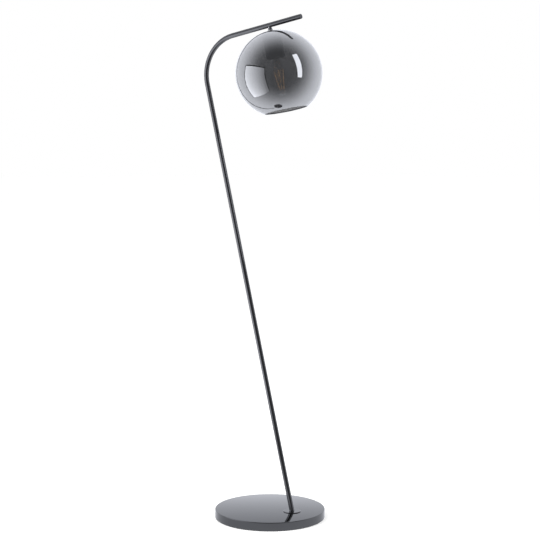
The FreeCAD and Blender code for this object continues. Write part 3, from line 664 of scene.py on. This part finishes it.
def holder_cup():
    """Spun cup over the lamp holder with a rounded shoulder and a turned-in lip."""
    low, high = reach("holder_cup", head_place)
    radius, top, foot = high.x, high.z, low.z
    shoulder = (radius - cup_shoulder, top - cup_shoulder)
    lip = (radius - cup_lip, foot + cup_lip)
    hem = (cup_mouth + cup_wall / 2, foot + cup_wall / 2)
    outline = [(cup_bore, top), (shoulder[0] - hold, top)]
    outline += arc(shoulder, cup_shoulder, 90, 0, steps=10)
    outline += arc(lip, cup_lip, 0, -90, steps=10)
    outline += arc(hem, cup_wall / 2, -90, -270, steps=6)
    outline += arc(lip, cup_lip - cup_wall, -90, 0, steps=6)
    outline += arc(shoulder, cup_shoulder - cup_wall, 0, 90, steps=6)
    outline += [(cup_bore, top - cup_wall)]
    mesh = lathe(outline, bulb_steps, closed=True)
    piece("lamp_holder_cup", mesh, head_place, "lamp", ["holder_cup"],
          [FINISHES["black_paint"]])


# ---- bulb -----------------------------------------------------------------------------
bulb_low, bulb_high = reach("bulb_glass", head_place)


def bulb_outline(inset):
    """Neck, shoulder, side and nose of the bulb as four tangent arcs, from the top down."""
    widest = bulb_high.x
    widest_height = bulb_low.z + bulb_dome_length
    swell = widest - bulb_neck_radius
    both_radii = (swell ** 2 + bulb_shoulder_length ** 2) / (2 * swell)
    hollow_radius = both_radii - bulb_shoulder_radius
    shoulder_turn = math.degrees(math.asin(bulb_shoulder_length / both_radii))
    nose = bulb_nose_radius
    nose_rise = bulb_dome_length - nose
    side_radius = (widest ** 2 + nose_rise ** 2 - nose ** 2) / (2 * (widest - nose))
    nose_turn = math.degrees(math.asin(nose_rise / (side_radius - nose)))
    points = [(bulb_neck_radius - inset, bulb_high.z)]
    points += arc((bulb_neck_radius + hollow_radius, widest_height + bulb_shoulder_length),
                  hollow_radius + inset, 180, 180 + shoulder_turn, steps=16)
    points += arc((widest - bulb_shoulder_radius, widest_height), bulb_shoulder_radius - inset,
                  shoulder_turn, 0, steps=16)[1:]
    points += arc((widest - side_radius, widest_height), side_radius - inset, 0, -nose_turn,
                  steps=12)[1:]
    points += arc((0, bulb_low.z + nose), nose - inset, -nose_turn, -90, steps=12)[1:]
    points[-1] = (0, points[-1][1])
    return points


def bulb_envelope():
    """Thin blown envelope, open at its neck."""
    outside = bulb_outline(0)
    inside = bulb_outline(bulb_wall)[::-1]
    mesh = lathe(outside + inside, bulb_steps, closed=True, open_at=len(outside) - 1)
    piece("bulb_envelope", mesh, head_place, "bulb", ["bulb_glass"],
          [clear_glass])


def bulb_stem():
    """Glass stem: flare, pressed throat and rod with a rounded end."""
    low, high = reach("bulb_stem", head_place)
    throat, rod = stem_throat_radius, stem_rod_radius
    flare_top = high.z - stem_foot
    flare_end = high.z - stem_flare
    throat_end = flare_end - stem_throat_length
    outline = [(0, high.z), (high.x - hold, high.z), (high.x, flare_top)]
    outline += flare(high.x, throat, flare_top, flare_end)
    outline += [(throat, throat_end + stem_taper), (rod, throat_end - stem_taper)]
    outline += arc((0, low.z + rod), rod, 0, -90, steps=6)[:-1]
    outline += [(0, low.z)]
    mesh = lathe(outline, stem_steps)
    piece("bulb_glass_stem", mesh, head_place, "bulb", ["bulb_stem"],
          [clear_glass])


def bulb_cap():
    """Screw cap with a rolled thread that fades out at both ends."""
    low, high = reach("bulb_screw_cap", head_place)
    radius = high.x
    inner = radius - cap_wall - thread_depth
    shoulder = high.z - cap_shoulder
    row = (shoulder - low.z) / cap_rows
    outline = [(inner, low.z)]
    outline += [(radius, low.z + row * index) for index in range(cap_rows + 1)]
    outline += arc((radius - cap_shoulder, shoulder), cap_shoulder, 10, 90, steps=6)
    outline += [(cap_crown_radius, high.z), (cap_crown_radius, high.z - cap_wall),
                (inner, shoulder - cap_wall)]
    mesh = lathe(outline, cap_steps, closed=True)
    for vert in mesh.verts:
        across = math.hypot(vert.co.x, vert.co.y)
        if across < radius - cap_wall / 2:
            continue
        from_end = min(vert.co.z - low.z, shoulder - vert.co.z) / thread_fade
        depth = thread_depth * max(0.0, min(1.0, from_end))
        turn = math.atan2(vert.co.y, vert.co.x)
        wave = 0.5 - 0.5 * math.cos(2 * math.pi * vert.co.z / thread_pitch + turn)
        sink = 1 - depth * wave / across
        vert.co.x *= sink
        vert.co.y *= sink
    piece("bulb_threaded_cap", mesh, head_place, "bulb", ["bulb_screw_cap"],
          [FINISHES["cap_metal"]])


def around(index, radius, height):
    """Point of one filament or of its wires, at its turn round the bulb's axis."""
    angle = 2 * math.pi * index / filament_count
    return Vector((radius * math.cos(angle), radius * math.sin(angle), height))


def bulb_filaments():
    """Coated filament sticks with bare metal ends, and the wires that hold them."""
    low, high = reach("bulb_filaments", head_place)
    coat = bmesh.new()
    metal = bmesh.new()
    for index in range(filament_count):
        foot = around(index, filament_foot_radius, low.z + filament_radius)
        top = around(index, filament_top_radius, high.z - filament_radius)
        tip = (top - foot).normalized() * filament_tip
        add_rod(coat, foot + tip, top - tip, filament_radius, stick_steps)
        add_rod(metal, foot, foot + tip, filament_radius / 2)
        add_rod(metal, top - tip, top, filament_radius / 2)
        for end, past in ((top, wire_reach), (foot, -wire_reach)):
            add_rod(metal, around(index, wire_root_radius, end.z + past), end, wire_radius)
    sharp = [edge for edge in coat.edges
             if edge.calc_face_angle(0) > math.radians(smooth_below)]
    bmesh.ops.bevel(coat, geom=sharp, offset=filament_rounding, offset_type="OFFSET", segments=3,
                    profile=0.5, affect="EDGES", material=-1)
    piece("bulb_filament_sticks", coat, head_place, "bulb", ["bulb_filaments"],
          [FINISHES["filament"]])
    piece("bulb_support_wires", metal, head_place, "bulb", ["bulb_wires"],
          [FINISHES["wire"]])


# ---- everything together --------------------------------------------------------------
base_cover()
foot_flange()
foot_weld()
straight_tube("pole_lower_tube", "lower_pole_tube", cut_foot=True)
straight_tube("pole_middle_tube", "middle_pole_tube")
bent_arm()
arm_button()
stem_collar()
globe()
holder_cup()
bulb_envelope()
bulb_stem()
bulb_cap()
bulb_filaments()

# Each solid takes the finish that its own material names, for where no piece stands for it.
for node in frame["nodes"].values():
    for index, given in enumerate(node.data.materials):
        node.data.materials[index] = FINISHES[given.name.split(".")[0]]


# ---- values of the stage --------------------------------------------------------------
camera_place = Vector((2.574, -4.277, 1.3796))
camera_pitch = math.radians(7.322)
camera_heading = math.atan2(0.5156, 0.8568)
camera_lens = 115.03
camera_sensor = 36
floor_radius = 14
floor_gap = 0.2 * MM          # keeps the floor off the underside of the pad
floor_grey = 0.85
floor_steps = 96
floor_glow = 0.35             # lifts the floor to white where it is seen, also through glass
daylight = 0.75               # strength of the world on matt surfaces
cool_white = (0.93, 0.955, 1.03, 1)
dark_side = 0.104             # what polished parts mirror in the front
bright_side = 1.12            # and at the sides and behind
fade_start = -0.65            # where between the back, -1, and the front, 1, it turns dark
fade_end = 0.75
floor_lift = 0.24             # how far the darkest place lies over the level front
world_lift = 0.22
lamp_aim = Vector((0, 0, 0.6))

# ---- camera ---------------------------------------------------------------------------
camera_data = bpy.data.cameras.new("camera")
camera_data.lens = camera_lens
camera_data.sensor_width = camera_sensor
camera = bpy.data.objects.new("camera", camera_data)
camera.location = camera_place
camera.rotation_euler = (math.pi / 2 - camera_pitch, 0, camera_heading)
bpy.context.scene.collection.objects.link(camera)
bpy.context.scene.camera = camera

to_front = Vector((math.sin(camera_heading), -math.cos(camera_heading), 0))
globe_low, globe_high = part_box("globe_glass")
globe_centre = (globe_low + globe_high) / 2


# ---- stage ----------------------------------------------------------------------------
def stage_piece(name, mesh, material):
    """Turn a finished bmesh into a piece of the stage."""
    data = bpy.data.meshes.new(name)
    mesh.to_mesh(data)
    mesh.free()
    data.materials.append(material)
    made = bpy.data.objects.new(name, data)
    bpy.context.scene.collection.objects.link(made)
    return made


def fade(tree, vector, lift):
    """Brightness that polished parts mirror: dark in the front, white at the sides and behind."""
    link = tree.links.new
    front = add(tree, "ShaderNodeVectorMath", {1: to_front + UP * lift}, operation="DOT_PRODUCT")
    link(vector, front.inputs[0])
    ramp = add(tree, "ShaderNodeMapRange", {"From Min": fade_start, "From Max": fade_end,
                                            "To Min": bright_side, "To Max": dark_side},
               interpolation_type="SMOOTHSTEP")
    link(front.outputs["Value"], ramp.inputs["Value"])
    return ramp.outputs["Result"]


def floor():
    """White floor that takes the shadow; polished parts mirror it darker in the front."""
    mesh = bmesh.new()
    bmesh.ops.create_circle(mesh, cap_ends=True, segments=floor_steps, radius=floor_radius,
                            matrix=Matrix.Translation((0, 0, -floor_gap)))
    material = bpy.data.materials.new("pale_floor")
    material.use_nodes = True
    tree = material.node_tree
    link = tree.links.new
    shader = tree.nodes["Principled BSDF"]
    shader.inputs["Base Color"].default_value = grey(floor_grey)
    shader.inputs["Roughness"].default_value = 1.0
    shader.inputs["Specular IOR Level"].default_value = 0.0
    path = add(tree, "ShaderNodeLightPath")
    straight = add(tree, "ShaderNodeMath", operation="MAXIMUM")
    link(path.outputs["Is Camera Ray"], straight.inputs[0])
    link(path.outputs["Is Transmission Ray"], straight.inputs[1])
    seen = add(tree, "ShaderNodeMath", {1: floor_glow}, operation="MULTIPLY")
    link(straight.outputs[0], seen.inputs[0])
    glow = add(tree, "ShaderNodeEmission")
    link(seen.outputs[0], glow.inputs["Strength"])
    both = add(tree, "ShaderNodeAddShader")
    link(shader.outputs[0], both.inputs[0])
    link(glow.outputs[0], both.inputs[1])
    place = add(tree, "ShaderNodeTexCoord")
    from_globe = add(tree, "ShaderNodeVectorMath", {1: globe_centre}, operation="SUBTRACT")
    link(place.outputs["Object"], from_globe.inputs[0])
    way = add(tree, "ShaderNodeVectorMath", operation="NORMALIZE")
    link(from_globe.outputs[0], way.inputs[0])
    mirrored = add(tree, "ShaderNodeEmission", {"Color": cool_white})
    link(fade(tree, way.outputs[0], floor_lift), mirrored.inputs["Strength"])
    choice = add(tree, "ShaderNodeMixShader")
    link(path.outputs["Is Glossy Ray"], choice.inputs["Fac"])
    link(both.outputs[0], choice.inputs[1])
    link(mirrored.outputs[0], choice.inputs[2])
    link(choice.outputs[0], tree.nodes["Material Output"].inputs["Surface"])
    stage_piece("floor", mesh, material)


def world():
    """White all round; after a polished surface it is dark in the front, and cooler."""
    surroundings = bpy.data.worlds.new("studio")
    surroundings.use_nodes = True
    bpy.context.scene.world = surroundings
    tree = surroundings.node_tree
    link = tree.links.new
    background = tree.nodes["Background"]
    path = add(tree, "ShaderNodeLightPath")
    way = add(tree, "ShaderNodeTexCoord")
    bounced = add(tree, "ShaderNodeMath", {1: 0.5}, operation="GREATER_THAN")
    link(path.outputs["Glossy Depth"], bounced.inputs[0])
    shown = add(tree, "ShaderNodeMix", {"A": 1.0}, data_type="FLOAT")
    link(bounced.outputs[0], shown.inputs["Factor"])
    link(fade(tree, way.outputs["Generated"], world_lift), shown.inputs["B"])
    tone = add(tree, "ShaderNodeMix", {COLOUR_A: grey(1.0), COLOUR_B: cool_white},
               data_type="RGBA")
    link(bounced.outputs[0], tone.inputs["Factor"])
    link(tone.outputs[COLOUR_RESULT], background.inputs["Color"])
    lit = add(tree, "ShaderNodeMix", {"B": daylight}, data_type="FLOAT")
    link(path.outputs["Is Diffuse Ray"], lit.inputs["Factor"])
    link(shown.outputs[0], lit.inputs["A"])
    link(lit.outputs[0], background.inputs["Strength"])


def matt_black():
    """Material of a panel's frame, which neither shines nor mirrors."""
    material = bpy.data.materials.new("black_frame")
    material.use_nodes = True
    shader = material.node_tree.nodes["Principled BSDF"]
    shader.inputs["Base Color"].default_value = grey(0.0)
    shader.inputs["Specular IOR Level"].default_value = 0.0
    return material


def panel_light(name, side, centre, half, low, high, strengths):
    """Light that changes from side to side of a panel and from its foot to its head."""
    material = bpy.data.materials.new(name)
    material.use_nodes = True
    tree = material.node_tree
    link = tree.links.new
    tree.nodes.remove(tree.nodes["Principled BSDF"])
    glow = add(tree, "ShaderNodeEmission", {"Color": cool_white})
    place = add(tree, "ShaderNodeTexCoord")
    across = add(tree, "ShaderNodeVectorMath", {1: side}, operation="DOT_PRODUCT")
    link(place.outputs["Object"], across.inputs[0])
    ramp = add(tree, "ShaderNodeMapRange", {"From Min": centre - half, "From Max": centre + half,
                                            "To Min": strengths[0], "To Max": strengths[1]})
    link(across.outputs["Value"], ramp.inputs["Value"])
    apart = add(tree, "ShaderNodeSeparateXYZ")
    link(place.outputs["Object"], apart.inputs[0])
    drop = add(tree, "ShaderNodeMapRange", {"From Min": low, "From Max": high, "To Min": 1.0,
                                            "To Max": strengths[2]})
    link(apart.outputs["Z"], drop.inputs["Value"])
    whole = add(tree, "ShaderNodeMath", operation="MULTIPLY")
    link(ramp.outputs["Result"], whole.inputs[0])
    link(drop.outputs["Result"], whole.inputs[1])
    link(whole.outputs[0], glow.inputs["Strength"])
    link(glow.outputs[0], tree.nodes["Material Output"].inputs["Surface"])
    return material


def light_card(name, azimuth, half_angle, distance, low, high, frame_width, spread, strengths):
    """Upright light panel that only polished surfaces mirror, with a black frame round it.

    It stands at an azimuth from the camera's side, seen from the globe, and takes up twice the
    half angle, both in degrees. Spread widens its foot and its head. The strengths are those at
    one side and at the other, and the share of them that is left at the head.
    """
    turn = Matrix.Rotation(math.radians(azimuth), 4, "Z")
    outward = turn.to_3x3() @ to_front
    along = UP.cross(outward)
    away = distance * math.cos(math.radians(half_angle))
    half = distance * math.sin(math.radians(half_angle))
    middle = Vector((globe_centre.x, globe_centre.y, (low + high) / 2)) + outward * away
    place = Matrix((along, UP, outward)).transposed().to_4x4()
    place.translation = middle
    mesh = bmesh.new()
    bmesh.ops.create_grid(mesh, x_segments=1, y_segments=1, size=0.5)
    bmesh.ops.scale(mesh, verts=mesh.verts, vec=(2 * half, high - low, 1))
    for vert in mesh.verts:
        vert.co.x *= spread[0] if vert.co.y < 0 else spread[1]
    rim = bmesh.ops.extrude_edge_only(mesh, edges=mesh.edges[:])
    corners = [item for item in rim["geom"] if isinstance(item, bmesh.types.BMVert)]
    wider = 1 + frame_width / half
    higher = 1 + 2 * frame_width / (high - low)
    bmesh.ops.scale(mesh, verts=corners, vec=(wider, higher, 1))
    for face in mesh.faces:
        face.material_index = 1 if any(vert in corners for vert in face.verts) else 0
    mesh.transform(place)
    material = panel_light(name, -along, middle.dot(-along), half, low, high, strengths)
    card = stage_piece(name, mesh, material)
    card.data.materials.append(black_frame)
    card.visible_camera = False
    card.visible_diffuse = False
    card.visible_shadow = False
    card.visible_transmission = False


def soft_lamp(name, place, size, power):
    """Large square lamp that lights the object and isn't seen or mirrored itself."""
    data = bpy.data.lights.new(name, "AREA")
    data.shape = "SQUARE"
    data.size = size
    data.energy = power
    made = bpy.data.objects.new(name, data)
    made.location = place
    aim = lamp_aim - Vector(place)
    made.rotation_euler = aim.to_track_quat("-Z", "Y").to_euler()
    made.visible_camera = False
    made.visible_glossy = False
    made.visible_transmission = False
    bpy.context.scene.collection.objects.link(made)


black_frame = matt_black()
floor()
world()
light_card("left_window", azimuth=-67, half_angle=30, distance=1.28, low=0.02, high=1.60,
           frame_width=0.05, spread=(1.25, 0.96), strengths=(0.4, 2.3, 0.75))
light_card("right_strip", azimuth=54, half_angle=6.3, distance=1.40, low=1.112, high=2.73,
           frame_width=0.0, spread=(0.96, 1.43), strengths=(2.15, 2.15, 1.0))
soft_lamp("soft_key", place=(-1.8, -2.2, 3.4), size=2.4, power=90)
soft_lamp("soft_fill", place=(2.6, 1.0, 3.0), size=2.4, power=40)

view = bpy.context.scene.view_settings
view.view_transform = "Standard"
